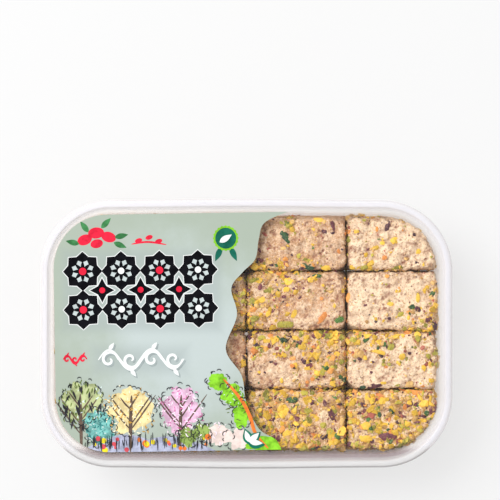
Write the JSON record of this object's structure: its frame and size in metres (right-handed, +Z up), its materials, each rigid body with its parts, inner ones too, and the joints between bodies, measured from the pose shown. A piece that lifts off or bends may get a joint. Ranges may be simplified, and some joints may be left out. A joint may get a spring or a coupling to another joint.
{
  "type": "shut clear tub of pistachio halva",
  "caption": "Shut clear plastic tub of pistachio halva cut into blocks, with a clear press-on lid and a printed film label with a wavy edge over part of the lid.",
  "frame": {"origin": "middle of the base, at the plane the tub stands on", "axes": "+X along the long side, away from the label's end; +Y along the short side; +Z up, out of the lid"},
  "size_m": [0.165, 0.108, 0.031],
  "materials": {
    "clear_tub": "clear moulded polypropylene, slightly milky, glossy",
    "clear_lid": "clear moulded polypropylene, slightly milky, glossy",
    "label_film": "printed film, satin, opaque",
    "halva": "pressed sesame halva, crumbly and matt, with chopped pistachio"
  },
  "bodies": {
    "root": {"tub": "clear_tub", "lid": "clear_lid", "label": "label_film", "halva_row1_col1": "halva", "halva_row1_col2": "halva", "halva_row1_col3": "halva", "halva_row1_col4": "halva", "halva_row2_col1": "halva", "halva_row2_col2": "halva", "halva_row2_col3": "halva", "halva_row2_col4": "halva", "halva_row3_col1": "halva", "halva_row3_col2": "halva", "halva_row3_col3": "halva", "halva_row3_col4": "halva", "halva_row4_col1": "halva", "halva_row4_col2": "halva", "halva_row4_col3": "halva", "halva_row4_col4": "halva"}
  },
  "joints": []
}
